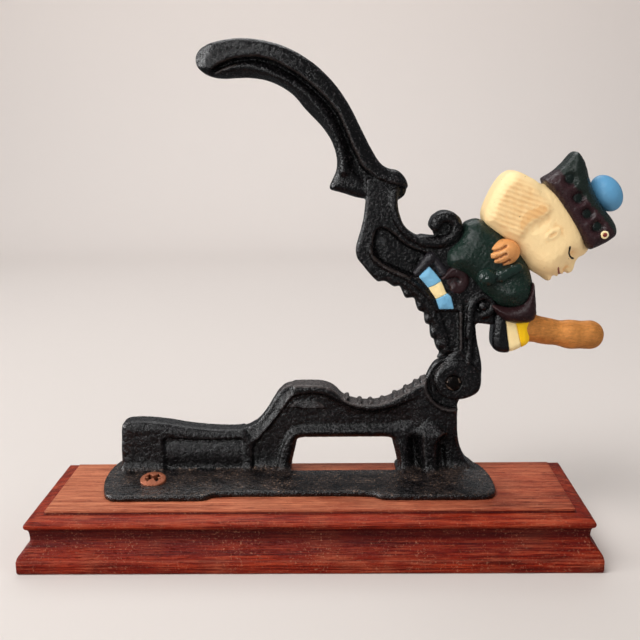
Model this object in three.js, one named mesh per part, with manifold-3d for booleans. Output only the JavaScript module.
// Lever nutcracker press: a cast-iron base and a figured cast-iron lever, hinged on a pin,
// screwed to a moulded wooden plinth. Millimetres, +Z up, the front faces -Y.
// The origin is the middle of the plinth's underside.
import * as THREE from 'three';
import { mergeVertices } from 'three/addons/utils/BufferGeometryUtils.js';
import Module from 'manifold-3d';

const wasm = await Module();
wasm.setup();

// Plinth
const panelLength = 210;          // raised top panel, along X
const panelDepth = 55;            // raised top panel, along Y
const plinthHeight = 23;
const panelStep = 1.4;            // drop from the panel to the ledge
const ledgeOutset = 6.9;          // how far the ledge stands out past the panel
const noseHeight = 2.4;           // quarter-round nose under the ledge
const noseFlat = 1.6;             // upright face under the nose
const coveDepth = 1.9;            // how far the cove cuts back in under the nose
const coveHeight = 6.4;
const footOutset = 9.8;
const footHeight = 5.8;
const footRelief = 0.5;           // worn lower edge of the foot

// Casting and hinge
const pivotAcross = 61;           // hinge axis from the middle of the plinth, along X
const pivotHeight = 40.5;         // hinge axis above the plinth's top
const castingBack = 3;            // back face of the castings in from the panel's rear edge
const wallThickness = 12.5;       // the base casting's upright wall
const bodyLength = 143.5;         // left end of the wall to the hinge axis
const flangeReach = 30.3;         // foot flange in front of the wall, at its lobes
const flangeThickness = 2.4;
const leverRise = 143;            // hinge axis to the top of the handle
const leverThickness = 12;        // handle and frame of the lever
const forkWidth = 13;             // lever's two cheeks, outside to outside
const tongueThickness = 5.2;      // base casting's knuckle between the cheeks
const tongueRadius = 11.2;
const pinRadius = 3.25;
const pinStandOff = 0.4;          // each peened end past its cheek
const pinEdge = 0.5;
const runningGap = 0.35;          // between the hinge's moving faces
const fitGap = 0.3;               // round pins and screws in their holes
const cutOverrun = 1;             // how far a cutting solid runs past what it cuts

// Relief of the castings
const castEdge = 1.6;             // rounding of the base casting's edges
const handleEdge = 4.2;           // rounding of the lever's handle
const frameEdge = 1.8;            // rounding of the lever's frame
const webDepth = 2.6;             // how deep the sunk webs lie
const pocketDepth = 3.4;
const fluteDepth = 1.6;
const ridgeRadius = 2.3;          // rounded ridges left standing in the webs
const postFluteRadius = 3;        // upright hollows down the post
const draft = 1.4;                // slope of the sunk panels' sides, along the face
const toothHeight = 1.3;
const toothWidth = 1.6;           // half a ridge's width, along the jaw
const toothCount = 7;             // ridges on each jaw
const scrollRelief = 1.6;         // rolled scroll ends stand out past the frame

// Painted figure
const figureThickness = 21;       // coat
const headThickness = 22;
const headEdge = 9;               // rounding of the skull
const hairThickness = 20;
const faceThickness = 9;          // nose, lips and chin
const faceEdge = 0.5;
const capThickness = 20.6;
const capEdge = 5;                // rounding of the cap
const dimpleRadius = 2.6;         // dimples round the cap
const dimpleDepth = 2;
const headTilt = 34;              // degrees from +X to the top of the head
const figureEdge = 7;             // rounding of the coat
const softEdge = 3;               // rounding of hair and coat tail
const tailThickness = 14;         // coat tail under the hem
const hemRelief = 0.5;
const bobbleHalves = [7, 6.6, 7.7];     // across, deep and up
const clubLength = 34;
const clubRadius = 5.8;
const clubTilt = 8.5;             // degrees that the club drops to its tip
const fistWidth = 13;
const cuffRadius = 3.2;           // lumps of the sleeve's cuff
const knobRadius = 4.3;
const bowRelief = 1.1;

// Screws
const woodScrewHead = 5.5;        // radius
const woodScrewRise = 2.3;        // domed head above the flange
const woodScrewShank = 2.1;       // radius
const woodScrewLength = 18;
const recessWidth = 1.3;          // cross recess
const recessSpan = 5.4;
const recessDepth = 1.1;
const postScrewShank = 2.4;       // radius
const postScrewHead = 4.6;        // radius
const postScrewHeadHeight = 3;
const postScrewGrip = 11;         // thread inside the base casting
const postScrewSink = 6.5;        // counterbore in the plinth's underside

// Smoothness
const curveSteps = 3;             // facets of one rounded corner
const closeSpots = 0.02;          // outline points nearer than this are one
const edgeSteps = 2;              // facets of a rounded edge
const fullSteps = 3;              // facets of the skull's deep rounding
const endSteps = 4;               // facets of a rod's round end
const mouldingSteps = 5;          // facets of the plinth's cove, ogee and nose
const roundSides = 24;            // facets round pins, holes and bosses
const ballSides = 14;             // facets round the figure's balls

const percent = 0.01;
const roomShare = 0.85;           // a rounded edge's part of a narrow place's half width
const paints = {
  iron: [0x17171a, 0.45, 0.35], wood: [0x8a3326, 0.5, 0], steel: [0x2b2624, 0.45, 0.8],
  copper: [0x9a5136, 0.5, 0.75],
};

/** A standard material from one row of the paints table. */
function material([color, roughness, metalness]) {
  return new THREE.MeshStandardMaterial({ color, roughness, metalness });
}

/** A closed three.js geometry as a solid that can be joined and cut. */
function solid(geometry) {
  const bare = geometry.clone();
  bare.deleteAttribute('normal');
  bare.deleteAttribute('uv');
  const merged = mergeVertices(bare);
  const corners = merged.index.array;
  const kept = [];
  for (let at = 0; at < corners.length; at += 3) {
    const [a, b, c] = corners.subarray(at, at + 3);
    if (a !== b && b !== c && c !== a) kept.push(a, b, c);
  }
  return new wasm.Manifold(new wasm.Mesh({
    numProp: 3, vertProperties: merged.attributes.position.array, triVerts: new Uint32Array(kept),
  }));
}

/** A named mesh from a finished solid. */
function meshOf(name, shape, paint) {
  const { vertProperties, triVerts } = shape.getMesh();
  const geometry = new THREE.BufferGeometry();
  geometry.setAttribute('position', new THREE.BufferAttribute(vertProperties, 3));
  geometry.setIndex(new THREE.BufferAttribute(triVerts, 1));
  geometry.computeVertexNormals();
  const mesh = new THREE.Mesh(geometry, material(paint));
  mesh.name = name;
  return mesh;
}

/** All the solids of a list joined into one. */
function joined(solids) {
  return solids.reduce((whole, piece) => whole.add(piece));
}

/** A solid with every solid of a list cut from it. */
function cutBy(whole, tools) {
  return tools.reduce((left, tool) => left.subtract(tool), whole);
}

/** Rows of [across, up, softness], in percent of two sizes, as points in millimetres. */
function placed(shares, acrossSize, upSize = acrossSize) {
  return shares.map(([across, up, softness = 1]) => ({
    spot: new THREE.Vector2(across * percent * acrossSize, up * percent * upSize), softness,
  }));
}

/** A closed outline whose corners are rounded: softness 1 rounds from mid-edge to mid-edge. */
function softOutline(points) {
  const outline = points.flatMap(({ spot, softness }, index) => {
    if (softness === 0) return [spot];
    const start = spot.clone().lerp(points.at(index - 1).spot, softness / 2);
    const end = spot.clone().lerp(points[(index + 1) % points.length].spot, softness / 2);
    return new THREE.QuadraticBezierCurve(start, spot, end).getPoints(curveSteps);
  });
  const apart = outline.filter((spot, index) => spot.distanceTo(outline.at(index - 1)) > closeSpots);
  return THREE.ShapeUtils.isClockWise(apart) ? apart.reverse() : apart;
}

/** How far each spot of an outline moves inward for a rounded edge, less where it is narrow. */
function inwardMoves(outline, edge) {
  return outline.map((spot, index) => {
    const along = outline[(index + 1) % outline.length].clone().sub(outline.at(index - 1));
    const inward = new THREE.Vector2(-along.y, along.x).normalize();
    const room = outline.reduce((least, other) => {
      const away = other.clone().sub(spot);
      const facing = inward.dot(away);
      return facing > 0 ? Math.min(least, away.lengthSq() / (2 * facing)) : least;
    }, Infinity);
    return inward.multiplyScalar(Math.min(edge, roomShare * room));
  });
}

/** An outline in X and Z carried along Y: each level has its y and its share of the inward move. */
function lofted(points, edge, levels) {
  const outline = softOutline(points);
  const moves = inwardMoves(outline, edge);
  const count = outline.length;
  const vertices = levels.flatMap(({ y, inward }) => outline.flatMap((spot, index) => [
    spot.x + moves[index].x * inward, y, spot.y + moves[index].y * inward]));
  const caps = THREE.ShapeUtils.triangulateShape(outline, []);
  const last = count * (levels.length - 1);
  const faces = caps.flatMap(([a, b, c]) => [a, b, c, last + a, last + c, last + b]);
  for (let level = 0; level + 1 < levels.length; level += 1) {
    outline.forEach((_, index) => {
      const a = level * count + index;
      const b = level * count + (index + 1) % count;
      faces.push(a, b + count, b, a, a + count, b + count);
    });
  }
  const geometry = new THREE.BufferGeometry();
  geometry.setAttribute('position', new THREE.Float32BufferAttribute(vertices, 3));
  geometry.setIndex(faces);
  return geometry;
}

/** The levels of a slab's one rounded edge, from its end face to its side. */
function edgeLevels(end, edge, steps, way) {
  return Array.from({ length: steps + 1 }, (_, step) => {
    const turn = (Math.PI / 2) * (1 - step / steps);
    return { y: end + way * edge * (1 - Math.sin(turn)), inward: 1 - Math.cos(turn) };
  });
}

/** An upright slab on the castings' middle plane, with rounded edges. */
function middleSlab(points, thickness, edge, steps = edgeSteps) {
  const half = thickness / 2;
  if (edge === 0) return solid(lofted(points, 0, [{ y: -half, inward: 0 }, { y: half, inward: 0 }]));
  return solid(lofted(points, edge, [
    ...edgeLevels(-half, edge, steps, 1), ...edgeLevels(half, edge, steps, -1).reverse(),
  ]));
}

/** Cutting solids that sink an outline into both faces of a wall, with sloping sides. */
function sunkPanels(points, faceDistance, depth, slope = draft) {
  const levels = [{ y: faceDistance - depth, inward: 1 }, { y: faceDistance, inward: 0 },
    { y: faceDistance + cutOverrun, inward: 0 }];
  const back = lofted(points, slope, levels);
  const front = lofted(points, slope, levels.map(({ y, inward }) => ({ y: -y, inward })).reverse());
  return [solid(front), solid(back)];
}

/** A pair of round-ended rods lying in both faces: each upright, then tilted. */
function rodPair(x, y, z, length, radius, tilt = 0) {
  return [1, -1].map((side) => {
    const geometry = new THREE.CapsuleGeometry(radius, length, endSteps, ballSides / 2);
    geometry.rotateX(Math.PI / 2);
    geometry.rotateY(tilt);
    geometry.translate(x, side * y, z);
    return solid(geometry);
  });
}

/** A round bar along Y, from y = near to y = far. */
function bar(radius, near, far, x = 0, z = 0) {
  const geometry = new THREE.CylinderGeometry(radius, radius, far - near, roundSides);
  geometry.translate(x, (near + far) / 2, z);
  return solid(geometry);
}

/** An upright round bar, from z = low to z = high. */
function post(radius, low, high, x = 0, y = 0) {
  const geometry = new THREE.CylinderGeometry(radius, radius, high - low, roundSides);
  geometry.rotateX(Math.PI / 2);
  geometry.translate(x, y, (low + high) / 2);
  return solid(geometry);
}

/** An egg-shaped ball with its own half width, half depth and half height. */
function ball(x, y, z, width, depth = width, height = width) {
  const geometry = new THREE.SphereGeometry(1, ballSides, ballSides / 2);
  geometry.scale(width, depth, height);
  geometry.translate(x, y, z);
  return solid(geometry);
}

/** A turned solid: rows of [radius, height] spun round the Z axis. */
function turned(profile, sides = roundSides) {
  const geometry = new THREE.LatheGeometry(profile.map(([r, h]) => new THREE.Vector2(r, h)), sides);
  geometry.rotateX(Math.PI / 2);
  return geometry;
}

// Plinth

/** A stack of rectangles, each grown past the panel by its outset, as one moulded block. */
function mouldedBlock(levels) {
  const corners = [[1, -1], [1, 1], [-1, 1], [-1, -1]];
  const vertices = levels.flatMap(({ outset, height }) => corners.flatMap(([sx, sy]) => [
    sx * (panelLength / 2 + outset), sy * (panelDepth / 2 + outset), height]));
  const faces = [];
  for (let level = 0; level + 1 < levels.length; level += 1) {
    corners.forEach((_, at) => {
      const a = level * 4 + at;
      const b = level * 4 + (at + 1) % 4;
      faces.push(a, b, b + 4, a, b + 4, a + 4);
    });
  }
  const top = (levels.length - 1) * 4;
  faces.push(0, 2, 1, 0, 3, 2, top, top + 1, top + 2, top, top + 2, top + 3);
  const geometry = new THREE.BufferGeometry();
  geometry.setAttribute('position', new THREE.Float32BufferAttribute(vertices, 3));
  geometry.setIndex(faces);
  return solid(geometry);
}

/** The plinth's section, from the floor up: foot, ogee, cove, quarter-round nose, panel. */
function plinthLevels() {
  const ledge = plinthHeight - panelStep;
  const noseFoot = ledge - noseHeight - noseFlat;
  const coveFoot = noseFoot - coveHeight;
  const coveOutset = ledgeOutset - coveDepth;
  const levels = [
    { outset: footOutset - footRelief, height: 0 }, { outset: footOutset, height: footRelief },
    { outset: footOutset, height: footHeight },
  ];
  for (let step = 1; step <= mouldingSteps; step += 1) {
    const turn = step / mouldingSteps;
    const swing = (1 + Math.cos(Math.PI * turn)) / 2;
    levels.push({
      outset: coveOutset + (footOutset - coveOutset) * swing,
      height: footHeight + (coveFoot - footHeight) * turn,
    });
  }
  for (let step = 1; step <= mouldingSteps; step += 1) {
    const turn = (Math.PI / 2) * (step / mouldingSteps);
    levels.push({
      outset: coveOutset + coveDepth * (1 - Math.cos(turn)),
      height: coveFoot + coveHeight * Math.sin(turn),
    });
  }
  levels.push({ outset: ledgeOutset, height: noseFoot + noseFlat });
  for (let step = 1; step <= mouldingSteps; step += 1) {
    const turn = (Math.PI / 2) * (step / mouldingSteps);
    levels.push({
      outset: ledgeOutset * Math.cos(turn),
      height: ledge - noseHeight * (1 - Math.sin(turn)),
    });
  }
  levels.push({ outset: 0, height: plinthHeight });
  return levels;
}

// Places that more than one piece shares, from the hinge axis and the castings' middle plane
const wallFace = wallThickness / 2;
const castingMiddle = panelDepth / 2 - castingBack - wallFace;
const plinthTop = -pivotHeight;
const flangeTop = plinthTop + flangeThickness;
const woodScrewShares = [-0.886, 0.374];   // of the wall's length and the flange's reach
const postScrewShare = -0.078;
const woodScrewSpot = [woodScrewShares[0] * bodyLength, -wallFace - woodScrewShares[1] * flangeReach];
const postScrewSpot = [postScrewShare * bodyLength, 0];

/** A spot given from the hinge axis, seen from the middle of the plinth. */
function onPlinth([x, y]) {
  return [pivotAcross + x, castingMiddle + y];
}

/** The wooden plinth, bored for its two screws. */
function woodPlinth() {
  const [frontX, frontY] = onPlinth(woodScrewSpot);
  const [postX, postY] = onPlinth(postScrewSpot);
  const pilotFoot = plinthHeight + flangeThickness - woodScrewLength - fitGap;
  return cutBy(mouldedBlock(plinthLevels()), [
    post(woodScrewShank + fitGap, pilotFoot, plinthHeight + cutOverrun, frontX, frontY),
    post(postScrewShank + fitGap, -cutOverrun, plinthHeight + cutOverrun, postX, postY),
    post(postScrewHead + fitGap, -cutOverrun, postScrewSink, postX, postY),
  ]);
}

// Base casting, from the hinge axis

const wallOutlineShares = [
  [-100, -100, 0], [-99.8, -52, 0.3], [-99.4, -40.5, 0.9], [-89, -41.4], [-78, -48.9],
  [-67.5, -51.1], [-61.2, -49.9], [-56.5, -37], [-51.2, -3.2], [-46, -1.4], [-38, -2], [-34.8, -9],
  [-32.9, -18], [-28, -24.4], [-22, -24.4], [-16.6, -16.6], [-10.6, -3.6], [-8.4, 1.6, 0.5],
];
const windowShares = [
  [-46.5, -60, 0.15], [-18.2, -60, 0.15], [-16.2, -91], [-15.6, -104, 0], [-49.6, -104, 0],
  [-48.6, -91],
];
const hollowShares = [
  [-86.6, -56, 0.4], [-63.2, -56, 0.4], [-62.6, -92.5, 0.3], [-86.6, -92.5, 0.3],
];
const slopeWebShares = [
  [-60.6, -58], [-57.5, -50], [-51.5, -25], [-48.6, -12], [-37.5, -11], [-32.5, -29],
  [-24, -35], [-13.6, -24, 0.5], [-15, -49, 0.4], [-49.4, -49], [-53.2, -62],
  [-56.2, -92.5, 0.4], [-60.4, -92.5, 0.4],
];
const crescentShares = [[-50.4, -24], [-43, -10], [-36, -24, 0.6], [-43, -27]];
const flangeShares = [
  [-102.4, 50], [-103.4, -30], [-102.8, -104], [-96, -102, 0.6], [-72, -101, 0.5],
  [-69.5, -86, 0.5], [-25, -86, 0.5], [-21.5, -101, 0.5], [6, -101, 0.5], [11.4, -96],
  [10.6, -20], [8, 22], [6, 41.2, 0.4], [-17, 41.2, 0.1], [-17, 0, 0.1], [-49, 0, 0.1],
  [-49, 41.2, 0.1], [-100.6, 41.2, 0.4],
];
const jawLineShares = [[-32.4, -17.6], [-24.6, -34], [-10.2, -3.6]];
const knuckleShares = [
  [-99, 18], [-74, 76], [-12, 98], [48, 80], [72, 26], [66, -34], [22, -78], [13, -110],
];
const postBackShares = [[1, -38], [1.2, -64], [3, -86], [6.2, -93, 0.7], [6.4, -100, 0]];
// Ridges and flutes: middle across, middle up, length
const hollowRidgeShares = [-0.746, -0.745, 0.185];
const legRidgeShares = [-0.606, -0.76, 0.29];
const postFluteShares = [[-0.126, -0.76, 0.24], [-0.027, -0.76, 0.24]];
const bossShares = [-0.063, -0.55, 0.03, 0.1];

/** The knuckle and the post under it, in millimetres of the knuckle's own radius. */
function knucklePoints() {
  return placed(knuckleShares, tongueRadius);
}

/** The post's back edge down to the foot, and the wall's outline round to the hinge. */
function wallPoints() {
  return [
    ...placed(wallOutlineShares, bodyLength, pivotHeight), ...knucklePoints(),
    ...placed(postBackShares, bodyLength, pivotHeight),
  ];
}

/** Points spaced evenly along a smooth curve, with the direction that faces off the jaw. */
function alongCurve(rows, acrossSize, upSize, count) {
  const [start, bend, end] = placed(rows, acrossSize, upSize).map(({ spot }) => spot);
  const curve = new THREE.QuadraticBezierCurve(start, bend, end);
  return Array.from({ length: count }, (_, at) => {
    const turn = (at + 0.5) / count;
    return { spot: curve.getPointAt(turn), along: curve.getTangentAt(turn) };
  });
}

/** One jaw's row of rounded ridges, each running across the casting. */
function teeth(rows, acrossSize, upSize, halfWidth) {
  return alongCurve(rows, acrossSize, upSize, toothCount).map(({ spot, along }) => {
    const geometry = new THREE.CylinderGeometry(1, 1, 2 * halfWidth, ballSides / 2);
    geometry.scale(toothHeight, 1, toothWidth);
    geometry.rotateY(Math.atan2(along.x, along.y));
    geometry.translate(spot.x, 0, spot.y);
    return solid(geometry);
  });
}

/** The foot flange: two wide lobes and a narrower bridge between them. */
function footFlange() {
  const edge = castEdge / 2;
  const geometry = lofted(placed(flangeShares, bodyLength, flangeReach), edge, [
    ...edgeLevels(-flangeTop, edge, edgeSteps, 1), { y: -plinthTop, inward: 0 },
  ]);
  geometry.rotateX(-Math.PI / 2);
  geometry.translate(0, -wallFace, 0);
  return solid(geometry);
}

/** The relief that stands proud of the wall's sunk webs on both faces. */
function wallRelief() {
  const depth = wallFace - webDepth;
  const [ridgeX, ridgeZ, ridgeLength] = hollowRidgeShares;
  const [legX, legZ, legLength] = legRidgeShares;
  const [bossX, bossZ, bossWidth, bossHeight] = bossShares;
  const crescent = placed(crescentShares, bodyLength, pivotHeight);
  return [
    ...rodPair(ridgeX * bodyLength, depth, ridgeZ * pivotHeight, ridgeLength * bodyLength,
      ridgeRadius, Math.PI / 2),
    ...rodPair(legX * bodyLength, depth, legZ * pivotHeight, legLength * pivotHeight, ridgeRadius),
    middleSlab(crescent, wallThickness - fluteDepth, fluteDepth, 1),
    ball(bossX * bodyLength, 0, bossZ * pivotHeight, bossWidth * bodyLength,
      wallFace + ridgeRadius / 2, bossHeight * pivotHeight),
  ];
}

/** The two hollows of the hinge, on either side of the knuckle, and the pin's hole. */
function hingeCuts() {
  const inner = tongueThickness / 2;
  const outer = wallFace + cutOverrun;
  const swing = tongueRadius + runningGap;
  return [
    bar(swing, -outer, -inner), bar(swing, inner, outer), bar(pinRadius + fitGap, -outer, outer),
  ];
}

/** Upright flutes down both faces of the post. */
function postFlutes() {
  const depth = wallFace + postFluteRadius - webDepth;
  return postFluteShares.flatMap(([x, z, length]) => rodPair(
    x * bodyLength, depth, z * pivotHeight, length * pivotHeight, postFluteRadius));
}

/** The whole base casting. */
function baseCasting() {
  const reach = [wallFace, webDepth];
  const wall = middleSlab(wallPoints(), wallThickness, castEdge);
  const window = placed(windowShares, bodyLength, pivotHeight);
  const sunk = cutBy(wall, [
    middleSlab(window, wallThickness + 2 * cutOverrun, 0),
    ...sunkPanels(placed(hollowShares, bodyLength, pivotHeight), ...reach),
    ...sunkPanels(placed(slopeWebShares, bodyLength, pivotHeight), ...reach),
    ...postFlutes(), ...hingeCuts(),
  ]);
  const ridges = teeth(jawLineShares, bodyLength, pivotHeight, wallFace - castEdge / 2);
  const whole = joined([sunk, ...wallRelief(), ...ridges, footFlange()]);
  return cutBy(whole, [
    post(woodScrewShank + fitGap, plinthTop - cutOverrun, flangeTop + cutOverrun, ...woodScrewSpot),
    post(postScrewShank + fitGap, plinthTop - cutOverrun, plinthTop + postScrewGrip + fitGap,
      ...postScrewSpot),
  ]);
}

// Lever casting, from the hinge axis, in percent of the lever's rise

const handleShares = [
  [-73.8, 98.1], [-60, 101.1], [-45, 97.1], [-32.4, 86.3], [-24, 68.3], [-20.4, 63.1], [-15.8, 62.8],
  [-12.8, 58.4], [-14.6, 53.4], [-22, 54.6], [-27, 54.4], [-32.4, 56.2, 0.7], [-37.2, 57.4, 0.6],
  [-33.4, 64.5], [-36, 73.3], [-43.1, 80], [-46.8, 85.4], [-55.1, 89.4], [-68.4, 88.6], [-74.1, 92.3],
];
const handleFluteShares = [
  [-70, 91.8], [-60, 95.4], [-51, 94.4], [-43.5, 88.8], [-37, 84], [-30.6, 73.4], [-26.8, 64.4],
  [-22.6, 61], [-26.6, 60.6], [-30, 65.4], [-34.4, 74.6], [-40.6, 82.4], [-47.8, 89.6], [-60, 92.6],
];
const frameShares = [
  [-25.8, 60, 0.2], [-26, 51], [-29.4, 38.4, 0.5], [-22.4, 29, 0.5], [-15.4, 27.2], [-9.4, 20.6],
  [-6.2, 13.8], [-3.6, 8.2, 0.7],
];
const frameBackShares = [
  [8.7, 6], [7.3, 12], [8, 18.6, 0.6], [12.2, 22], [11, 34], [4, 47], [-3, 41.8], [-13.4, 43.4],
  [-17.2, 51.4], [-16, 60, 0.2],
];
const pocketShares = [
  [-23, 47.6], [-18.6, 46.4], [-15, 41.4], [-4.6, 39.2], [-9.6, 36.6], [-11.6, 32.6],
  [-21.6, 36], [-24.2, 39.6],
];
const panelShares = [[-6.4, 22.4, 0.4], [2.6, 22, 0.3], [2.6, 9.8], [-0.8, 8.4]];
const leverJawShares = [[-20.2, 28.8], [-10.8, 25], [-4.4, 9.4]];
const bowShares = [
  [-10.3, 32.2, 0.2], [-7.5, 35.1, 0.2], [-4, 31.2, 0.3], [-2.3, 27.2, 0.3], [-0.2, 22.5, 0.2],
  [-4.4, 22.4, 0.2], [-5.5, 25.2, 0.3], [-7.5, 28.5, 0.3],
];
const coatShares = [
  [2.8, 46.6], [7.8, 49, 0.6], [16, 43.2], [21.6, 35.6], [25.2, 27], [22.6, 19.4], [12, 22.6],
  [7.6, 28.6], [3.6, 37.6],
];
const hemShares = [
  [10.4, 23.8], [14, 18.8], [19.4, 17.6], [24.1, 18.8], [24, 24.2], [23.2, 30.8], [21.8, 25.2],
  [17.8, 22.2],
];
const tailShares = [
  [12.6, 21, 0.4], [11.4, 9.8, 0.8], [14, 8.4], [21, 8.6], [23.6, 11.6], [22.4, 20, 0.4],
];
// Head, cap and hair: percent of the lever's rise, along the face and up the head
const skullShares = [
  [-36, 35.6], [-36, 55.6], [-22, 57], [-10.8, 54.6], [-10.8, 44], [-13, 38], [-18, 35.4],
];
const profileShares = [
  [-30, 37, 0.4], [-30, 54.4, 0.4], [-10.6, 54.4, 0.3], [-10.1, 52.2, 0.9], [-11, 50.3, 0.9],
  [-7.1, 46.6, 0.8], [-9.5, 45.3, 0.8], [-8.5, 44, 0.8], [-9.5, 43.4, 0.7], [-8.9, 42.6, 0.8],
  [-10.2, 41.6, 0.8], [-8.8, 40.1], [-10.4, 38.6], [-14.8, 38, 0.6],
];
const hairShares = [
  [-35.6, 33.4, 0.4], [-37.6, 35.4], [-42.4, 44], [-42.6, 49.2, 0.8], [-35.9, 52.9, 0.5],
  [-29.6, 53.4, 0.4], [-25, 49], [-24.6, 42], [-26, 36.6, 0.6],
];
const capShares = [
  [-35.6, 53.7, 0.3], [-35, 59.6], [-37.4, 66.6, 0.7], [-33, 66.8], [-27, 64.6], [-20.4, 63.7],
  [-14, 64.6], [-10, 63.4, 0.8], [-9.8, 60], [-10.9, 53.5, 0.3],
];
const capStudShares = [[-31.9, 60], [-25.9, 59], [-20.7, 58.7], [-15.9, 59.1]];
const bobbleShares = [[-21.3, 67.4]];
// Arm and figure: places in percent of the lever's rise
const forkShares = [[-64, 56], [-68, -36], [-26, -70], [48, -66], [108, -34], [110, 30]];
const cheekTopShares = [[-3.4, 11]];
const armFluteShares = [0.042, 0.155, 0.1];         // middle across, middle up, length
const scrollShares = [[-2.4, 46.4, 4.4, -1.2], [9.4, 23.4, 3.8, 0]];   // spot, radius, eye's shift
const scrollFaceShare = 0.72;
const scrollEyeShare = 0.42;
const fistShares = [[14.5, 38.9]];
const cuffShares = [[8.7, 31.4], [12, 33.4], [15, 33.8]];
const knobShares = [[0.6, 31.4]];
const clubShares = [[33, 15.2]];
const clubFormShares = [[0, -1], [1.12, -1], [1, -0.2], [0.94, 0.1]];  // of radius and half length
const screwDomeShares = [[1, 0], [0.93, 0.6], [0.55, 0.93], [0, 1]];   // of radius and rise

/** Points along the face and up the head, turned to the head's tilt. */
function headPoints(shares) {
  const turn = THREE.MathUtils.degToRad(headTilt - 90);
  return placed(shares, leverRise).map(({ spot, softness }) => ({
    spot: spot.rotateAround(new THREE.Vector2(), turn), softness,
  }));
}

/** The lower end of the frame: the cheeks' round end and the heel behind the pin. */
function forkPoints() {
  return placed(forkShares, tongueRadius);
}

/** The iron frame: neck, jaw, pocket and the arm that forks round the knuckle. */
function leverFrame() {
  const points = [
    ...placed(frameShares, leverRise), ...forkPoints(), ...placed(frameBackShares, leverRise),
  ];
  const face = leverThickness / 2;
  const [fluteX, fluteZ, fluteLength] = armFluteShares.map((share) => share * leverRise);
  const cheekPoints = [
    ...placed(frameShares.slice(-1), leverRise), ...forkPoints(),
    ...placed([...frameBackShares.slice(0, 2), ...cheekTopShares], leverRise),
  ];
  const frame = joined([
    middleSlab(points, leverThickness, frameEdge), middleSlab(cheekPoints, forkWidth, frameEdge / 2),
    ...teeth(leverJawShares, leverRise, leverRise, face - castEdge / 2),
  ]);
  return cutBy(frame, [
    ...sunkPanels(placed(pocketShares, leverRise), face, pocketDepth),
    ...sunkPanels(placed(panelShares, leverRise), face, fluteDepth),
    ...rodPair(fluteX, face, fluteZ, fluteLength, fluteDepth),
  ]);
}

/** The curved handle, with the long flute down each side of it. */
function leverHandle() {
  return cutBy(middleSlab(placed(handleShares, leverRise), leverThickness, handleEdge),
    sunkPanels(placed(handleFluteShares, leverRise), leverThickness / 2, fluteDepth, draft / 2));
}

/** The two rolled ends of the frame's border, each with an eye in both faces. */
function scrolls() {
  const half = leverThickness / 2 + scrollRelief;
  return scrollShares.map((row) => {
    const [x, z, radius, shift] = row.map((share) => share * percent * leverRise);
    const face = radius * scrollFaceShare;
    const eye = radius * scrollEyeShare;
    const geometry = turned([[0, -half], [face, -half], [radius, -half + frameEdge],
      [radius, half - frameEdge], [face, half], [0, half]], ballSides);
    geometry.rotateX(Math.PI / 2);
    geometry.translate(x, 0, z);
    const eyes = [-1, 1].map((side) => ball(x + shift, side * half, z + shift, eye, pocketDepth));
    return cutBy(solid(geometry), eyes);
  });
}

/** Balls sunk in both faces of the lever, one pair at each spot. */
function ballPairs(shares, across, width, depth) {
  return placed(shares, leverRise).flatMap(({ spot }) => [-1, 1].map((side) => ball(
    spot.x, side * across, spot.y, width, depth, width)));
}

/** Coat, hem, tail, bow, fists, cuffs and knob of the figure. */
function figureDress() {
  const fistPlane = figureThickness / 2 - fistWidth / 8;
  const shape = (shares, thickness, edge, steps) => middleSlab(
    placed(shares, leverRise), thickness, edge, steps);
  return [
    shape(coatShares, figureThickness, figureEdge, fullSteps),
    shape(hemShares, figureThickness + 2 * hemRelief, frameEdge),
    shape(tailShares, tailThickness, softEdge),
    shape(bowShares, leverThickness + 2 * bowRelief, bowRelief / 2, 1),
    ...ballPairs(fistShares, fistPlane, fistWidth / 2, fistWidth / 3),
    ...ballPairs(cuffShares, fistPlane, cuffRadius, cuffRadius),
    ...ballPairs(knobShares, leverThickness / 2, knobRadius, knobRadius),
  ];
}

/** The round-ended club that sticks out from under the coat. */
function club() {
  const tip = clubLength / 2;
  const rows = clubFormShares.map(([across, along]) => [across * clubRadius, along * tip]);
  for (let step = 0; step < endSteps; step += 1) {
    const turn = (Math.PI / 2) * (step / endSteps);
    rows.push([clubRadius * Math.cos(turn), tip - clubRadius * (1 - Math.sin(turn))]);
  }
  const geometry = turned([...rows, [0, tip]], ballSides);
  const [{ spot }] = placed(clubShares, leverRise);
  geometry.rotateY(Math.PI / 2 + THREE.MathUtils.degToRad(clubTilt));
  geometry.translate(spot.x, 0, spot.y);
  return solid(geometry);
}

/** Head, hair and cap, with the bobble and the cap's dimples. */
function figureHead() {
  const [bobble] = headPoints(bobbleShares);
  const dimples = headPoints(capStudShares).flatMap(({ spot }) => [-1, 1].map((side) => ball(
    spot.x, side * capThickness / 2, spot.y, dimpleRadius, dimpleDepth, dimpleRadius)));
  return [
    middleSlab(headPoints(skullShares), headThickness, headEdge, fullSteps),
    middleSlab(headPoints(profileShares), faceThickness, faceEdge),
    middleSlab(headPoints(hairShares), hairThickness, softEdge),
    cutBy(middleSlab(headPoints(capShares), capThickness, capEdge, fullSteps), dimples),
    ball(bobble.spot.x, 0, bobble.spot.y, ...bobbleHalves),
  ];
}

/** The slot between the cheeks, and the pin's hole through them. */
function forkCuts() {
  const half = tongueThickness / 2 + runningGap;
  const outer = forkWidth / 2 + cutOverrun;
  return [bar(tongueRadius + runningGap, -half, half), bar(pinRadius + fitGap, -outer, outer)];
}

/** The whole lever casting. */
function leverCasting() {
  const whole = joined([leverFrame(), leverHandle(), ...scrolls(), ...figureDress(), club(),
    ...figureHead()]);
  return cutBy(whole, forkCuts());
}

// Pin and screws

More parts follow.
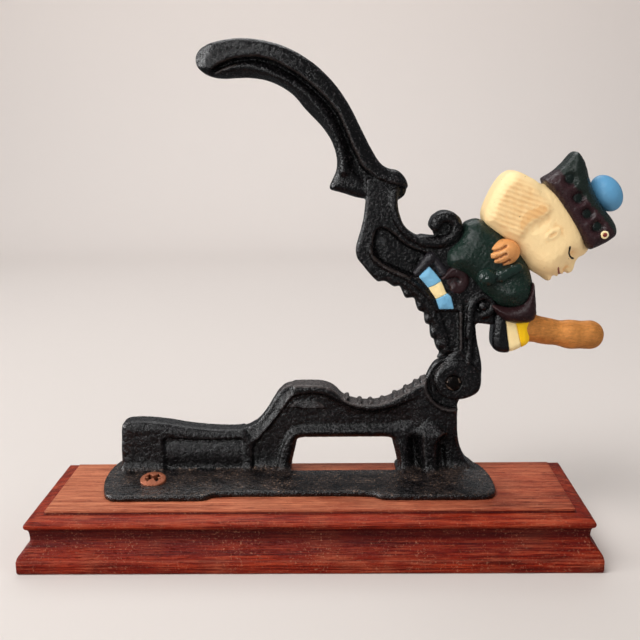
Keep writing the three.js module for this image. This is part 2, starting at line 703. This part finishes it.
/** The pivot pin, its ends peened just past the cheeks. */
function pivotPin() {
  const half = forkWidth / 2 + pinStandOff;
  const geometry = turned([[0, -half], [pinRadius - pinEdge, -half], [pinRadius, -half + pinEdge],
    [pinRadius, half - pinEdge], [pinRadius - pinEdge, half], [0, half]]);
  geometry.rotateX(Math.PI / 2);
  return solid(geometry);
}

/** The domed wood screw through the flange, its head resting on the flange. */
function woodScrew() {
  const tipLength = 2 * woodScrewShank;
  const shape = solid(turned([[0, -woodScrewLength], [woodScrewShank, -woodScrewLength + tipLength],
    [woodScrewShank, 0],
    ...screwDomeShares.map(([across, up]) => [across * woodScrewHead, up * woodScrewRise])]));
  const arms = [0, Math.PI / 2].map((turn) => {
    const geometry = new THREE.BoxGeometry(recessSpan, recessWidth, 2 * recessDepth);
    geometry.rotateZ(turn);
    geometry.translate(0, 0, woodScrewRise);
    return solid(geometry);
  });
  return cutBy(shape, arms);
}

/** The machine screw from below, through the plinth and into the base casting's post. */
function postScrew() {
  const top = plinthHeight + postScrewGrip;
  return solid(turned([[0, postScrewSink - postScrewHeadHeight],
    [postScrewHead, postScrewSink - postScrewHeadHeight], [postScrewHead, postScrewSink],
    [postScrewShank, postScrewSink], [postScrewShank, top - pinEdge],
    [postScrewShank - pinEdge, top], [0, top]]));
}

/** Every piece in its place. */
function nutcracker() {
  const press = new THREE.Group();
  const hinge = new THREE.Group();
  hinge.position.set(pivotAcross, castingMiddle, plinthHeight + pivotHeight);
  hinge.add(meshOf('base_casting', baseCasting(), paints.iron));
  hinge.add(meshOf('lever_casting', leverCasting(), paints.iron));
  hinge.add(meshOf('pivot_pin', pivotPin(), paints.steel));
  const front = meshOf('flange_screw', woodScrew(), paints.copper);
  front.position.set(...onPlinth(woodScrewSpot), plinthHeight + flangeThickness);
  const under = meshOf('post_screw', postScrew(), paints.steel);
  under.position.set(...onPlinth(postScrewSpot), 0);
  press.add(meshOf('wood_plinth', woodPlinth(), paints.wood), hinge, front, under);
  return press;
}

export default nutcracker();
